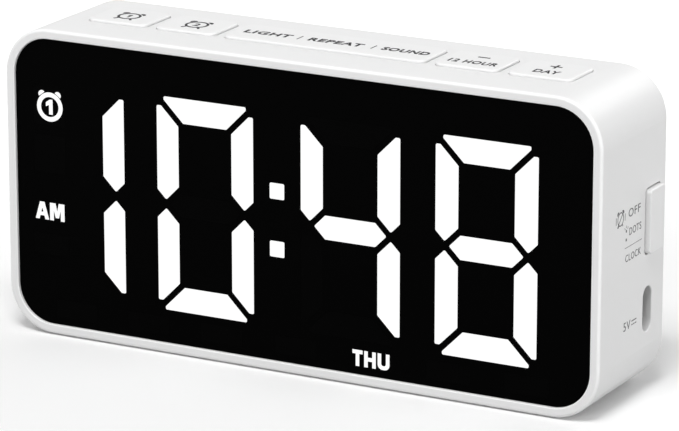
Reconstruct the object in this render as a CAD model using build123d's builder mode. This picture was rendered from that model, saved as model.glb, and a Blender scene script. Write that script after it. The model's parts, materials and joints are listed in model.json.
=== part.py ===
from build123d import *
from math import sqrt
import os

# Digital alarm clock in millimetres. Z is up, the front faces -Y, and the origin lies on the
# table under the middle of the clock.

# Housing
body_w = 160.0
body_h = 77.0
body_d = 36.0
corner_r = 12.0
wall = 2.4
edge_r = 0.8
bezel_edge_r = 0.3

# Display face and the ledge that carries it
face_recess = 0.8
face_t = 2.0
face_fit = 0.05
ledge_w = 1.6
ledge_t = 1.6

# Digits: size, strokes and mitred joints
digit_left = 4.1
digit_right = 14.0
digit_top = 10.5
digit_gap = 9.3
colon_gap = 12.9
bar_t = 6.15
post_t = 5.9
mid_t = 5.85
mitre_gap = 2.3
bar_cut = 1.95
post_cut = 2.35
post_tip = 2.4
mid_tip = 3.6
segment_r = 0.35
colon_size = 3.9
colon_pitch = 14.3

# Small legend windows in the face
window_fit = 0.04
alarm_window_w = 9.0
alarm_window_h = 9.6
half_day_window_w = 10.0
half_day_window_h = 5.4
legend_inset = 9.4
alarm_window_above = 20.2
alarm_window_pitch = 12.0
half_day_below = 6.35
half_day_pitch = 8.4
day_window_h = 4.8
day_side = 10.6
day_space = 8.8
day_count = 7
day_row_above_wall = 4.15
day_gap = 1.85

# Reflector, boards and lamps
reflector_fit = 0.3
reflector_t = 5.2
cavity_inset = 0.5
board_t = 1.6
board_fit = 0.4
lamp_w = 2.0
lamp_d = 1.5
lamp_t = 0.8
lamp_end = 6.6

# Screws
head_r = 1.9
head_t = 1.3
shaft_r = 1.0
cross_len = 2.2
cross_w = 0.5
cross_depth = 0.6
head_room = 0.3
hole_fit = 0.15
pilot_fit = 0.03
cover_screw_inset = 3.25
small_boss_r = 2.3
boss_bite = 0.6
screw_bite = 4.0

# Top keys
small_key_w = 16.4
key_margin = 2.95
key_space = 2.6
key_row_x = 0.75
key_setback = 12.5
key_rear_setback = 9.7
key_proud = 0.7
key_corner_r = 2.0
key_edge_r = 0.5
key_fit = 0.18
key_travel = 0.5
flange_gap = 0.3
flange_t = 1.0
flange_x = 0.7
flange_y = 0.8
rib_t = 1.2

# Push switches under the keys
switch_w = 6.0
switch_h = 3.4
plunger_r = 1.75
plunger_len = 1.6
plunger_rise = 1.0
plunger_fit = 0.1
plunger_room = 0.2

# Side key
side_key_d = 8.0
side_key_h = 15.5
side_key_proud = 1.35
side_key_r = 0.9
side_key_edge_r = 0.3
side_key_fit = 0.4
side_key_inset = 3.4
side_key_lift = 0.3
side_flange_y = 0.8
side_flange_z = 1.0

# Power inlet
slot_len = 11.0
slot_w = 5.0
slot_edge_r = 0.3
inlet_above = 21.0
shell_w = 8.94
shell_t = 3.26
shell_len = 7.35
shell_sheet = 0.3
shell_back_gap = 0.25
tongue_w = 6.69
tongue_t = 0.7
tongue_short = 0.9
tongue_base = 1.2

# Main board and what stands on it
main_w = 109.0
main_boss_gap = 0.8
main_edge_gap = 2.6
main_screw_inset = 3.0
main_screw_setback = 6.5
post_w = 5.0
post_inlet_gap = 0.6
post_holder_gap = 0.5
buzzer_r = 6.0
buzzer_h = 8.5
buzzer_hole_r = 1.0
buzzer_cell_gap = 38.0
buzzer_gap = 0.3
chip_w = 18.0
chip_d = 7.5
chip_t = 2.4
chip_inset = 25.0
chip_below = 15.2
leg_pitch = 1.27
leg_w = 0.42
leg_reach = 1.2
leg_t = 0.5
crystal_r = 1.0
crystal_len = 6.0
crystal_below = 12.0
cell_r = 10.0
cell_t = 3.2
cell_fit = 0.2
cell_inset = 51.0
cell_drop = 0.68
holder_w = 24.0
holder_floor = 1.0
holder_h = 5.0
contact_t = 0.3
contact_w = 5.0
contact_over = 3.0

# Pin headers between the boards
pin_w = 0.64
pin_pitch = 2.54
pin_count = 8
pin_hole_fit = 0.1
pin_end = 0.8
header_w = 2.5
display_header_inset = 7.0
key_header_x = 0.0
key_header_below = 5.0
key_pin_run = 1.2

# Rear cover and battery cap
cover_t = 2.3
cover_fit = 0.15
cover_edge = 0.4
seat_depth = 1.4
sound_hole_r = 0.9
sound_ring_r = 4.0
sound_ring_count = 6
cap_r = 13.0
cap_t = 1.5
cap_gap = 0.2
cap_neck_r = 11.7
cap_lip = 1.0
lug_t = 1.0
lug_w = 9.0
cap_turn = 45.0
cap_ring_wall = 1.4
cap_ring_gap = 0.3
coin_slot_len = 15.0
coin_slot_w = 2.0
coin_slot_depth = 0.9

# Feet
foot_r = 4.0
foot_proud = 0.3
foot_t = 1.4
foot_fit = 0.05
foot_inset_x = 18.0
foot_inset_y = 7.0

# Places worked out from the sizes above
front_y = -body_d / 2
rear_y = body_d / 2
side_x = body_w / 2
in_x = side_x - wall
in_w = body_w - 2 * wall
in_h = body_h - 2 * wall
in_r = corner_r - wall
base_z = foot_proud
top_z = base_z + body_h
top_in_z = top_z - wall

face_back_y = front_y + face_recess + face_t
ledge_back_y = face_back_y + ledge_t
display_front_y = face_back_y + reflector_t
display_rear_y = display_front_y + board_t
boss_start_y = display_rear_y + head_t + flange_gap
day_pitch = (in_w - 2 * day_side + day_space) / day_count
day_window_w = day_pitch - day_space
day_above = wall + day_row_above_wall
digit_low = day_above + day_window_h / 2 + day_gap
digit_h = body_h - wall - digit_top - digit_low
digit_above = digit_low + digit_h / 2
digit_w = (in_w - digit_left - digit_right - 2 * digit_gap - colon_gap) / 4
digit_pitch = digit_w + digit_gap
pair_offset = digit_w + (digit_gap + colon_gap) / 2
display_x = digit_left - in_x + pair_offset + digit_pitch / 2 + digit_w / 2
board_screw_x = 1.5 * day_pitch
board_screw_low = wall + head_r + head_room
board_screws = [(side * board_screw_x, board_screw_low) for side in (-1, 1)]
board_screws += [(x, body_h - above) for x, above in board_screws]

cover_in_y = rear_y - cover_t
main_rear_y = cover_in_y - buzzer_gap - buzzer_h
main_front_y = main_rear_y - board_t
main_right = in_x - main_edge_gap
main_left = main_right - main_w
cell_x = main_right - cell_inset
buzzer_x = cell_x - buzzer_cell_gap
chip_x = main_right - chip_inset
chip_legs = int(chip_w / leg_pitch)
display_header_x = main_left + display_header_inset
post_low_x = cell_x + holder_w / 2 + post_holder_gap + post_w / 2

key_d = body_d - key_setback - key_rear_setback
key_y = front_y + key_setback + key_d / 2
flange_top_z = top_in_z - flange_gap
flange_low_z = flange_top_z - flange_t
switch_top_z = flange_low_z - plunger_rise
key_board_z = switch_top_z - switch_h
plunger_hole = plunger_len - plunger_rise + key_travel + plunger_room
side_key_y = rear_y - side_key_inset - side_key_d / 2
side_hole_d = side_key_d + 2 * side_key_fit
side_hole_h = side_key_h + 2 * side_key_fit
side_flange_x = in_x - flange_gap
side_flange_in_x = side_flange_x - flange_t
side_switch_x = side_flange_in_x - plunger_rise
inlet_y = main_rear_y + shell_t / 2
shell_mouth_x = in_x - shell_back_gap
key_pin_y = main_rear_y + header_w + key_pin_run

boss_r = cover_screw_inset + boss_bite
boss_corner = (in_r - cover_screw_inset) / sqrt(2)
boss_low_x = in_x - in_r + boss_corner
boss_low = wall + in_r - boss_corner
boss_high_x = in_x - cover_screw_inset
boss_high = key_board_z - board_t - head_t - head_room - base_z - boss_r
cover_screws = [(-boss_low_x, boss_low), (boss_low_x, boss_low)]
cover_screws += [(-boss_high_x, boss_high), (boss_high_x, boss_high)]

main_low = boss_low + boss_r + main_boss_gap
main_high = boss_high - boss_r - main_boss_gap
main_middle = (main_low + main_high) / 2
cell_above = main_middle - cell_drop
chip_above = main_high - chip_below
side_key_above = (inlet_above + slot_len / 2 + boss_high - boss_r) / 2 + side_key_lift
post_high = main_high - post_w / 2
post_low = inlet_above + slot_len / 2 + post_w / 2 + post_inlet_gap
main_screw_x = main_right - main_screw_setback
post_reach = in_x - main_screw_x + post_w / 2
main_screw_low = main_low + main_screw_inset
main_screws_right = [(main_screw_x, post_low), (main_screw_x, post_high)]
main_screws_low = [(main_left + post_w / 2, main_screw_low), (post_low_x, main_screw_low)]

key_end_x = in_x - in_r + small_boss_r
key_board_front = key_y - key_d / 2
key_board_rear = key_pin_y + header_w / 2
key_screw_rows = (key_board_front + small_boss_r, key_board_rear - small_boss_r)
key_screws = [(x, y) for x in (-key_end_x, key_end_x) for y in key_screw_rows]

snooze_w = body_w - 2 * (corner_r + key_margin) - 4 * (small_key_w + key_space)
snooze_switch_reach = snooze_w / 3
near_key = snooze_w / 2 + key_space + small_key_w / 2
far_key = near_key + small_key_w + key_space
top_keys = {
    "alarm_1": (key_row_x - far_key, small_key_w, [0]),
    "alarm_2": (key_row_x - near_key, small_key_w, [0]),
    "snooze": (key_row_x, snooze_w, [-snooze_switch_reach, snooze_switch_reach]),
    "minus": (key_row_x + near_key, small_key_w, [0]),
    "plus": (key_row_x + far_key, small_key_w, [0]),
}

# Middle of each digit, its glowing segments and its dark ones, as the clock shows 10:48
digits = [
    (display_x - pair_offset - digit_pitch / 2, "bc", ""),
    (display_x - pair_offset + digit_pitch / 2, "abcdef", "g"),
    (display_x + pair_offset - digit_pitch / 2, "bcfg", "ade"),
    (display_x + pair_offset + digit_pitch / 2, "abcdefg", ""),
]
legend_x = legend_inset - in_x
alarm_above = digit_above + alarm_window_above
half_day_above = digit_above - half_day_below
legends = []
for row in range(2):
    legends.append((legend_x, alarm_above - row * alarm_window_pitch, alarm_window_w, alarm_window_h))
    legends.append((legend_x, half_day_above - row * half_day_pitch, half_day_window_w, half_day_window_h))
for day in range(day_count):
    day_x = (day - (day_count - 1) / 2) * day_pitch
    legends.append((day_x, day_above, day_window_w, day_window_h))


def upright(y):
    """Plane facing the front at depth y, with heights measured from the housing's underside."""
    return Plane(origin=(0, y, base_z), x_dir=(1, 0, 0), z_dir=(0, -1, 0))


def sideways(x):
    """Plane facing right at x, with heights measured from the housing's underside."""
    return Plane(origin=(x, 0, base_z), x_dir=(0, 1, 0), z_dir=(1, 0, 0))


def level(z):
    """Plane facing up at height z above the table."""
    return Plane.XY.offset(z)


def inner_outline(inset):
    """Rounded outline of the housing's inside, drawn in by inset."""
    with Locations((0, body_h / 2)):
        RectangleRounded(in_w - 2 * inset, in_h - 2 * inset, in_r - inset)


def segment_points(letter):
    """Corners of one segment about the middle of its digit."""
    half_w = digit_w / 2
    half_h = digit_h / 2
    lean = mitre_gap / 2
    if letter in "ad":
        left = [(-half_w + bar_t + lean, half_h - bar_t), (-half_w + bar_cut, half_h - bar_cut + lean)]
        left += [(-half_w + bar_cut, half_h)]
        points = left + [(-x, y) for x, y in reversed(left)]
    elif letter == "g":
        left = [(-half_w + mid_tip + mid_t / 2, -mid_t / 2), (-half_w + mid_tip, 0)]
        left += [(-half_w + mid_tip + mid_t / 2, mid_t / 2)]
        points = left + [(-x, y) for x, y in reversed(left)]
    else:
        tip_y = post_tip + mitre_gap - mid_tip
        points = [(-half_w, half_h - post_cut), (-half_w + post_cut - lean, half_h - post_cut)]
        points += [(-half_w + post_t, half_h - post_t - lean), (-half_w + post_t, tip_y + post_t - post_tip)]
        points += [(-half_w + post_tip, tip_y), (-half_w, tip_y + post_tip)]
    flip_x = -1 if letter in "bc" else 1
    flip_y = -1 if letter in "cde" else 1
    return [(flip_x * x, flip_y * y) for x, y in points]


def draw_board_seats(grow):
    """Bosses under the display board's screws, each joined to the wall beside it, grown by grow."""
    reach = board_screw_low - wall + boss_bite
    for x, above in board_screws:
        towards_wall = reach / 2 if above > body_h / 2 else -reach / 2
        with Locations((x, above)):
            Circle(small_boss_r + grow)
        with Locations((x, above + towards_wall)):
            Rectangle(2 * (small_boss_r + grow), reach)


def draw_segments(glowing, dark):
    """Chosen segments of all four digits, with the colon among the glowing ones."""
    for middle_x, lit_letters, dark_letters in digits:
        letters = (lit_letters if glowing else "") + (dark_letters if dark else "")
        for letter in letters:
            Polygon(*[(middle_x + x, digit_above + y) for x, y in segment_points(letter)])
    if glowing:
        with Locations((display_x, digit_above)):
            with GridLocations(colon_pitch, colon_pitch, 1, 2):
                Rectangle(colon_size, colon_size)


def draw_legends(grow):
    """Windows of the printed legends, each grown by grow."""
    for x, above, width, height in legends:
        with Locations((x, above)):
            Rectangle(width + 2 * grow, height + 2 * grow)


def make_screws(plane, places, head_side, shaft_len):
    """Pan-head screws seated on a plane, with their heads on its head_side and a cross in each."""
    with BuildPart() as screws:
        with BuildSketch(plane):
            with Locations(*places):
                Circle(head_r)
        extrude(amount=head_side * head_t)
        with BuildSketch(plane):
            with Locations(*places):
                Circle(shaft_r)
        extrude(amount=-head_side * shaft_len)
        with BuildSketch(plane.offset(head_side * head_t)):
            with Locations(*places):
                Rectangle(cross_len, cross_w)
                Rectangle(cross_w, cross_len)
        extrude(amount=-head_side * cross_depth, mode=Mode.SUBTRACT)
    return screws.part


def save(piece, name):
    """Labels a finished piece and writes it."""
    piece.label = name
    export_step(piece, f"parts/{name}.step")


os.makedirs("parts", exist_ok=True)

# Housing: bezel and four walls, open at the back, with its ledge, bosses, posts and openings
with BuildPart() as housing:
    with BuildSketch(upright(rear_y)):
        with Locations((0, body_h / 2)):
            RectangleRounded(body_w, body_h, corner_r)
    extrude(amount=body_d)
    outer_ends = housing.faces().sort_by(Axis.Y)
    fillet(outer_ends[0].edges() + outer_ends[-1].edges(), edge_r)
    with BuildSketch(upright(rear_y)):
        inner_outline(0)
    extrude(amount=body_d, mode=Mode.SUBTRACT)
    fillet(housing.faces().sort_by(Axis.Y)[0].inner_wires()[0].edges(), bezel_edge_r)
    with BuildSketch(upright(ledge_back_y)):
        inner_outline(-boss_bite)
        with Locations((0, body_h / 2)):
            RectangleRounded(in_w - 2 * ledge_w, in_h - 2 * ledge_w, in_r - ledge_w, mode=Mode.SUBTRACT)
    extrude(amount=ledge_t)
    with BuildSketch(upright(display_front_y)):
        draw_board_seats(0)
    extrude(amount=display_front_y - ledge_back_y)
    with BuildSketch(upright(cover_in_y)):
        with Locations(*cover_screws):
            Circle(boss_r)
    extrude(amount=cover_in_y - boss_start_y)
    with BuildSketch(upright(main_front_y)):
        with Locations(*[(in_x - post_reach / 2 + boss_bite / 2, above) for x, above in main_screws_right]):
            Rectangle(post_reach + boss_bite, post_w)
        for x, above in main_screws_low:
            with Locations((x, (wall - boss_bite + above + post_w / 2) / 2)):
                Rectangle(post_w, above + post_w / 2 - wall + boss_bite)
    extrude(amount=main_front_y - boss_start_y)
    with BuildSketch(level(key_board_z)):
        with Locations(*key_screws):
            Circle(small_boss_r)
        with Locations((key_row_x, key_y + key_d / 2 + flange_y + flange_gap + rib_t / 2)):
            Rectangle(2 * far_key, rib_t)
    extrude(amount=top_in_z + boss_bite - key_board_z)

    with BuildSketch(upright(display_front_y)):
        with Locations(*board_screws):
            Circle(shaft_r + pilot_fit)
    extrude(amount=display_front_y - ledge_back_y, mode=Mode.SUBTRACT)
    with BuildSketch(upright(cover_in_y)):
        with Locations(*cover_screws):
            Circle(shaft_r + pilot_fit)
    extrude(amount=2 * screw_bite, mode=Mode.SUBTRACT)
    with BuildSketch(upright(main_front_y)):
        with Locations(*main_screws_right, *main_screws_low):
            Circle(shaft_r + pilot_fit)
    extrude(amount=2 * screw_bite, mode=Mode.SUBTRACT)
    with BuildSketch(level(key_board_z)):
        with Locations(*key_screws):
            Circle(shaft_r + pilot_fit)
    extrude(amount=screw_bite, mode=Mode.SUBTRACT)

    with BuildSketch(level(top_in_z)):
        for x, width, switches in top_keys.values():
            with Locations((x, key_y)):
                RectangleRounded(width + 2 * key_fit, key_d + 2 * key_fit, key_corner_r + key_fit)
    extrude(amount=wall, mode=Mode.SUBTRACT)
    with BuildSketch(sideways(in_x)):
        with Locations((side_key_y, side_key_above)):
            RectangleRounded(side_hole_d, side_hole_h, side_key_r + side_key_fit)
        with Locations((inlet_y, inlet_above)):
            SlotOverall(slot_len, slot_w, rotation=90)
    extrude(amount=wall, mode=Mode.SUBTRACT)
    slot_rim = housing.faces().sort_by(Axis.X)[-1].inner_wires().sort_by(Axis.Z)[0]
    fillet(slot_rim.edges(), slot_edge_r)
    with BuildSketch(level(base_z)):
        with GridLocations(body_w - 2 * foot_inset_x, body_d - 2 * foot_inset_y, 2, 2):
            Circle(foot_r + foot_fit)
    extrude(amount=foot_t - foot_proud, mode=Mode.SUBTRACT)
save(housing.part, "housing")

# Display face: black panel with windows for the segments and legends
with BuildPart() as display_face:
    with BuildSketch(upright(face_back_y)):
        inner_outline(face_fit)
    extrude(amount=face_t)
    with BuildSketch(upright(face_back_y)) as windows:
        draw_segments(True, True)
        fillet(windows.vertices(), segment_r)
        offset(amount=window_fit)
        draw_legends(window_fit)
    extrude(amount=face_t, mode=Mode.SUBTRACT)
save(display_face.part, "display_face")

# Light guides that fill the windows of the glowing segments and the colon
with BuildPart() as lit_segments:
    with BuildSketch(upright(face_back_y)) as lit_outline:
        draw_segments(True, False)
        fillet(lit_outline.vertices(), segment_r)
    extrude(amount=face_t)
save(lit_segments.part, "lit_segments")

# Light guides of the segments that are off
with BuildPart() as dark_segments:
    with BuildSketch(upright(face_back_y)) as dark_outline:
        draw_segments(False, True)
        fillet(dark_outline.vertices(), segment_r)
    extrude(amount=face_t)
save(dark_segments.part, "dark_segments")

# Printed legend windows: two alarms, two halves of the day and seven weekdays
with BuildPart() as legend_inserts:
    with BuildSketch(upright(face_back_y)):
        draw_legends(0)
    extrude(amount=face_t)
save(legend_inserts.part, "legend_inserts")

# Reflector frame: a light box behind every window
with BuildPart() as reflector_frame:
    with BuildSketch(upright(display_front_y)):
        inner_outline(reflector_fit)
    extrude(amount=display_front_y - ledge_back_y)
    with BuildSketch(upright(ledge_back_y)):
        inner_outline(ledge_w + reflector_fit)
    extrude(amount=ledge_t)
    with BuildSketch(upright(display_front_y)):
        draw_board_seats(reflector_fit)
    extrude(amount=display_front_y - ledge_back_y, mode=Mode.SUBTRACT)
    with BuildSketch(upright(display_front_y)):
        draw_segments(True, True)
        offset(amount=-cavity_inset)
        draw_legends(-cavity_inset)
    extrude(amount=reflector_t, mode=Mode.SUBTRACT)
save(reflector_frame.part, "reflector_frame")

# Pins that join display board and main board, in one column
display_pin_places = [
    (display_header_x, main_middle + (i - (pin_count - 1) / 2) * pin_pitch) for i in range(pin_count)
]

# Display board
with BuildPart() as display_board:
    with BuildSketch(upright(display_rear_y)):
        inner_outline(board_fit)
        with Locations(*board_screws):
            Circle(shaft_r + hole_fit, mode=Mode.SUBTRACT)
        with Locations(*display_pin_places):
            Rectangle(pin_w + 2 * pin_hole_fit, pin_w + 2 * pin_hole_fit, mode=Mode.SUBTRACT)
    extrude(amount=board_t)
save(display_board.part, "display_board")

# Lamps: two behind each segment, one behind each dot of the colon and each legend
post_low_end = post_tip + mitre_gap - mid_tip
post_high_end = digit_h / 2 - post_cut
post_mid = (post_high_end + post_low_end) / 2
bar_lamp_reach = digit_w / 2 - post_t - mitre_gap
post_lamp_reach = (post_high_end - post_low_end) / 2 - lamp_end
lamp_spots = {
    "a": (0, digit_h / 2 - bar_t / 2),
    "d": (0, bar_t / 2 - digit_h / 2),
    "g": (0, 0),
    "b": (digit_w / 2 - post_t / 2, post_mid),
    "c": (digit_w / 2 - post_t / 2, -post_mid),
    "e": (post_t / 2 - digit_w / 2, -post_mid),
    "f": (post_t / 2 - digit_w / 2, post_mid),
}
lamp_places = [(x, above) for x, above, width, height in legends]
lamp_places += [(display_x, digit_above + side * colon_pitch / 2) for side in (-1, 1)]
for middle_x, lit_letters, dark_letters in digits:
    for letter in lit_letters + dark_letters:
        spot_x, spot_y = lamp_spots[letter]
        along_x, along_y = (bar_lamp_reach, 0) if letter in "adg" else (0, post_lamp_reach)
        for side in (-1, 1):
            lamp_places.append((middle_x + spot_x + side * along_x, digit_above + spot_y + side * along_y))
with BuildPart() as display_lamps:
    with BuildSketch(upright(display_front_y)):
        with Locations(*lamp_places):
            Rectangle(lamp_w, lamp_d)
    extrude(amount=lamp_t)
save(display_lamps.part, "display_leds")

# Screws that hold the display board and, under it, the reflector
display_screw_len = display_rear_y - ledge_back_y
display_board_screws = make_screws(upright(display_rear_y), board_screws, -1, display_screw_len)
save(display_board_screws, "display_board_screws")

# Key board under the top keys
key_pin_places = [(key_header_x + (i - (pin_count - 1) / 2) * pin_pitch, key_pin_y) for i in range(pin_count)]
with BuildPart() as key_board:
    with BuildSketch(level(key_board_z)):
        with Locations((0, (key_board_front + key_board_rear) / 2)):
            Rectangle(2 * (key_end_x + small_boss_r), key_board_rear - key_board_front)
        with Locations(*key_screws):
            Circle(shaft_r + hole_fit, mode=Mode.SUBTRACT)
        with Locations(*key_pin_places):
            Rectangle(pin_w + 2 * pin_hole_fit, pin_w + 2 * pin_hole_fit, mode=Mode.SUBTRACT)
    extrude(amount=-board_t)
save(key_board.part, "key_board")

key_screw_len = board_t + screw_bite - plunger_room
key_board_screws = make_screws(level(key_board_z - board_t), key_screws, -1, key_screw_len)
save(key_board_screws, "key_board_screws")

# Bodies of the push switches on the key board
switch_places = [(x + switch, key_y) for x, width, switches in top_keys.values() for switch in switches]
with BuildPart() as key_switch_bodies:
    with BuildSketch(level(key_board_z)):
        with Locations(*switch_places):
            Rectangle(switch_w, switch_w)
    extrude(amount=switch_h)
    with BuildSketch(level(switch_top_z)):
        with Locations(*switch_places):
            Circle(plunger_r + plunger_fit)
    extrude(amount=-plunger_hole, mode=Mode.SUBTRACT)
save(key_switch_bodies.part, "key_switch_bodies")

# Top keys, each with the flange that keeps it in, and the plunger that it pushes
for name, (x, width, switches) in top_keys.items():
    with BuildPart() as top_key:
        with BuildSketch(level(flange_low_z)):
            with Locations((x, key_y)):
                RectangleRounded(width, key_d, key_corner_r)
        extrude(amount=top_z + key_proud - flange_low_z)
        fillet(top_key.faces().sort_by(Axis.Z)[-1].edges(), key_edge_r)
        with BuildSketch(level(flange_low_z)):
            with Locations((x, key_y)):
                RectangleRounded(width + 2 * flange_x, key_d + 2 * flange_y, key_corner_r)
        extrude(amount=flange_t)
    save(top_key.part, "snooze_bar" if name == "snooze" else f"{name}_key")
    with BuildPart() as key_plungers:
        with BuildSketch(level(flange_low_z)):
            with Locations(*[(x + switch, key_y) for switch in switches]):
                Circle(plunger_r)
        extrude(amount=-plunger_len)
    save(key_plungers.part, "snooze_plungers" if name == "snooze" else f"{name}_plunger")

# Side key with its flange, and the plunger that it pushes
with BuildPart() as side_key:
    with BuildSketch(sideways(side_flange_in_x)):
        with Locations((side_key_y, side_key_above)):
            RectangleRounded(side_key_d, side_key_h, side_key_r)
    extrude(amount=side_x + side_key_proud - side_flange_in_x)
    fillet(side_key.faces().sort_by(Axis.X)[-1].edges(), side_key_edge_r)
    with BuildSketch(sideways(side_flange_in_x)):
        with Locations((side_key_y, side_key_above)):
            RectangleRounded(side_key_d + 2 * side_flange_y, side_key_h + 2 * side_flange_z, side_key_r)
    extrude(amount=flange_t)
save(side_key.part, "side_key")

with BuildPart() as side_plunger:
    with BuildSketch(sideways(side_flange_in_x)):
        with Locations((side_key_y, side_key_above)):
            Circle(plunger_r)
    extrude(amount=-plunger_len)
save(side_plunger.part, "side_plunger")

# Main board behind the display board
with BuildPart() as main_board:
    with BuildSketch(upright(main_rear_y)):
        with Locations(((main_left + main_right) / 2, (main_low + main_high) / 2)):
            Rectangle(main_right - main_left, main_high - main_low)
        with Locations(*main_screws_right, *main_screws_low):
            Circle(shaft_r + hole_fit, mode=Mode.SUBTRACT)
        with Locations(*display_pin_places):
            Rectangle(pin_w + 2 * pin_hole_fit, pin_w + 2 * pin_hole_fit, mode=Mode.SUBTRACT)
    extrude(amount=board_t)
save(main_board.part, "main_board")

main_screws = main_screws_right + main_screws_low
main_board_screws = make_screws(upright(main_rear_y), main_screws, -1, board_t + screw_bite)
save(main_board_screws, "main_board_screws")

# Push switch lying on the main board behind the side key
side_switch_back = side_key_y + switch_w / 2
with BuildPart() as side_switch_body:
    with BuildSketch(sideways(side_switch_x)):
        with Locations(((main_rear_y + side_switch_back) / 2, side_key_above)):
            Rectangle(side_switch_back - main_rear_y, switch_w)
    extrude(amount=-switch_h)
    with BuildSketch(sideways(side_switch_x)):
        with Locations((side_key_y, side_key_above)):
            Circle(plunger_r + plunger_fit)
    extrude(amount=-plunger_hole, mode=Mode.SUBTRACT)
save(side_switch_body.part, "side_switch_body")

# Power inlet: sheet-metal shell and its plastic tongue
with BuildPart() as usb_shell:
    with BuildSketch(sideways(shell_mouth_x)):
        with Locations((inlet_y, inlet_above)):
            SlotOverall(shell_w, shell_t, rotation=90)
    extrude(amount=-shell_len)
    with BuildSketch(sideways(shell_mouth_x)):
        with Locations((inlet_y, inlet_above)):
            SlotOverall(shell_w - 2 * shell_sheet, shell_t - 2 * shell_sheet, rotation=90)
    extrude(amount=shell_sheet - shell_len, mode=Mode.SUBTRACT)
save(usb_shell.part, "usb_shell")

with BuildPart() as usb_tongue:
    with BuildSketch(sideways(shell_mouth_x - shell_len + shell_sheet)):
        with Locations((inlet_y, inlet_above)):
            SlotOverall(shell_w - 2 * shell_sheet, shell_t - 2 * shell_sheet, rotation=90)
    extrude(amount=tongue_base)
    with BuildSketch(sideways(shell_mouth_x - shell_len + shell_sheet)):
        with Locations((inlet_y, inlet_above)):
            Rectangle(tongue_t, tongue_w)
    extrude(amount=shell_len - shell_sheet - tongue_short)
save(usb_tongue.part, "usb_tongue")

# Buzzer behind the sound holes
with BuildPart() as buzzer:
    with BuildSketch(upright(main_rear_y)):
        with Locations((buzzer_x, cell_above)):
            Circle(buzzer_r)
    extrude(amount=-buzzer_h)
    with BuildSketch(upright(main_rear_y + buzzer_h)):
        with Locations((buzzer_x, cell_above)):
            Circle(buzzer_hole_r)
    extrude(amount=buzzer_h / 2, mode=Mode.SUBTRACT)
save(buzzer.part, "buzzer")

# Controller chip with its two rows of legs
with BuildPart() as controller_chip:
    with BuildSketch(upright(main_rear_y)):
        with Locations((chip_x, chip_above)):
            Rectangle(chip_w, chip_d)
    extrude(amount=-chip_t)
    with BuildSketch(upright(main_rear_y)):
        with Locations((chip_x, chip_above)):
            with GridLocations(leg_pitch, chip_d + leg_reach, chip_legs, 2):
                Rectangle(leg_w, leg_reach)
    extrude(amount=-leg_t)
save(controller_chip.part, "controller_chip")

# Clock crystal: a small can lying on the main board
with BuildPart() as clock_crystal:
    with BuildSketch(sideways(chip_x - crystal_len / 2)):
        with Locations((main_rear_y + crystal_r, chip_above - crystal_below)):
            Circle(crystal_r)
    extrude(amount=crystal_len)
save(clock_crystal.part, "clock_crystal")

# Coin cell in its holder, with a contact under it and one over its edge
cell_front_y = main_rear_y + holder_floor + contact_t
with BuildPart() as cell_holder:
    with BuildSketch(upright(main_rear_y)):
        with Locations((cell_x, cell_above)):
            Rectangle(holder_w, holder_w)
    extrude(amount=-holder_h)
    with BuildSketch(upright(main_rear_y + holder_floor)):
        with Locations((cell_x, cell_above)):
            Circle(cell_r + cell_fit)
    extrude(amount=holder_floor - holder_h, mode=Mode.SUBTRACT)
    with BuildSketch(upright(cell_front_y + cell_t)):
        with Locations((cell_x, cell_above + cell_r)):
            Rectangle(contact_w, holder_w - 2 * cell_r)
    extrude(amount=cell_front_y + cell_t - main_rear_y - holder_h, mode=Mode.SUBTRACT)
save(cell_holder.part, "cell_holder")

with BuildPart() as coin_cell:
    with BuildSketch(upright(cell_front_y)):
        with Locations((cell_x, cell_above)):
            Circle(cell_r)
    extrude(amount=-cell_t)
    fillet(coin_cell.edges().filter_by(GeomType.CIRCLE), contact_t)
save(coin_cell.part, "coin_cell")

with BuildPart() as cell_contacts:
    with BuildSketch(upright(main_rear_y + holder_floor)):
        with Locations((cell_x, cell_above)):
            Rectangle(contact_w, cell_r)
    extrude(amount=-contact_t)
    with BuildSketch(upright(cell_front_y + cell_t)):
        with Locations((cell_x, cell_above + (cell_r - contact_over + holder_w / 2) / 2)):
            Rectangle(contact_w, holder_w / 2 - cell_r + contact_over)
    extrude(amount=-contact_t)
save(cell_contacts.part, "cell_contacts")

# Straight pin header between display board and main board
with BuildPart() as display_header_block:
    with BuildSketch(upright(main_front_y)):
        with Locations((display_header_x, main_middle)):
            Rectangle(header_w, pin_count * pin_pitch)
        with Locations(*display_pin_places):
            Rectangle(pin_w, pin_w, mode=Mode.SUBTRACT)
    extrude(amount=main_front_y - display_rear_y)
save(display_header_block.part, "display_header_block")

with BuildPart() as display_header_pins:
    with BuildSketch(upright(main_rear_y + pin_end)):
        with Locations(*display_pin_places):
            Rectangle(pin_w, pin_w)
    extrude(amount=main_rear_y + pin_end - display_front_y - pin_hole_fit)
save(display_header_pins.part, "display_header_pins")

# Angled pin header from the main board up to the key board
key_header_above = main_high - key_header_below
key_pin_top = key_board_z - pin_hole_fit - base_z
with BuildPart() as key_header_block:
    with BuildSketch(upright(main_rear_y)):
        with Locations((key_header_x, key_header_above)):
            Rectangle(pin_count * pin_pitch, header_w)
        with Locations(*[(x, key_header_above) for x, y in key_pin_places]):
            Rectangle(pin_w, pin_w, mode=Mode.SUBTRACT)
    extrude(amount=-header_w)
save(key_header_block.part, "key_header_block")

with BuildPart() as key_header_pins:
    for x, y in key_pin_places:
        with BuildSketch(sideways(x - pin_w / 2)):
            with Locations(((main_rear_y + key_pin_y + pin_w / 2) / 2, key_header_above)):
                Rectangle(key_pin_y + pin_w / 2 - main_rear_y, pin_w)
            with Locations((key_pin_y, (key_header_above + key_pin_top) / 2)):
                Rectangle(pin_w, key_pin_top - key_header_above)
        extrude(amount=pin_w)
save(key_header_pins.part, "key_header_pins")

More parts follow.
